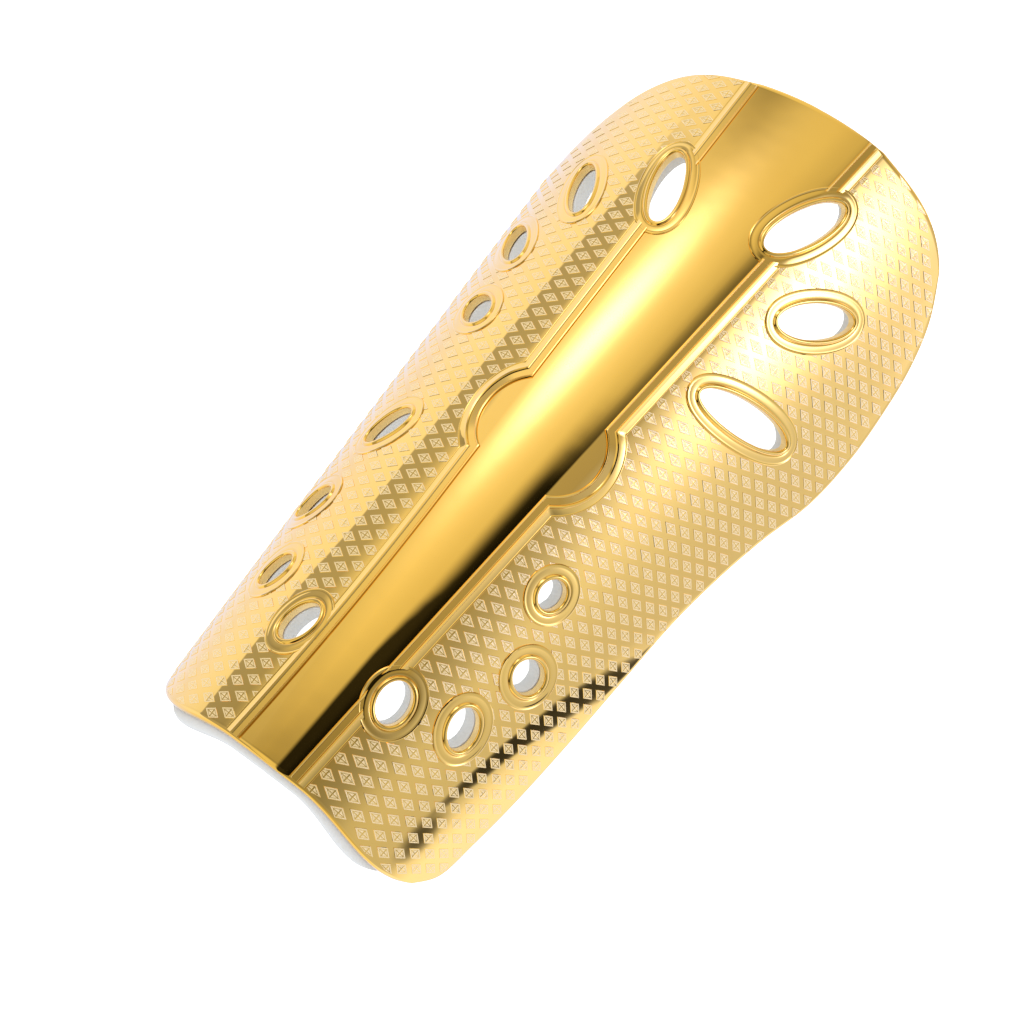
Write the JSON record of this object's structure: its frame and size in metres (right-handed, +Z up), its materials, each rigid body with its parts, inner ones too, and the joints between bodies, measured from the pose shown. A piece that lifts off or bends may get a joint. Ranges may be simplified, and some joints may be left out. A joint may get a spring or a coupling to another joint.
{
  "type": "football shin guard",
  "caption": "Slip-in football shin guard: an arched gold-plated shell with stepped rails, a medallion, raised lozenges and rimmed vent holes, over a pale foam lining.",
  "frame": {"origin": "middle of the bounding box at floor level", "axes": "+Y from the ankle end to the knee end, +Z up and away from the shin, +X to the right as seen from the front with the knee end up"},
  "size_m": [0.0976, 0.187, 0.0401],
  "materials": {
    "gold_plating": "moulded plastic with mirror-like gold plating and pale matte lozenges",
    "lining_foam": "pale soft foam with a fine fibrous face"
  },
  "bodies": {
    "root": {"shell": "gold_plating", "foam_lining": "lining_foam"}
  },
  "joints": []
}
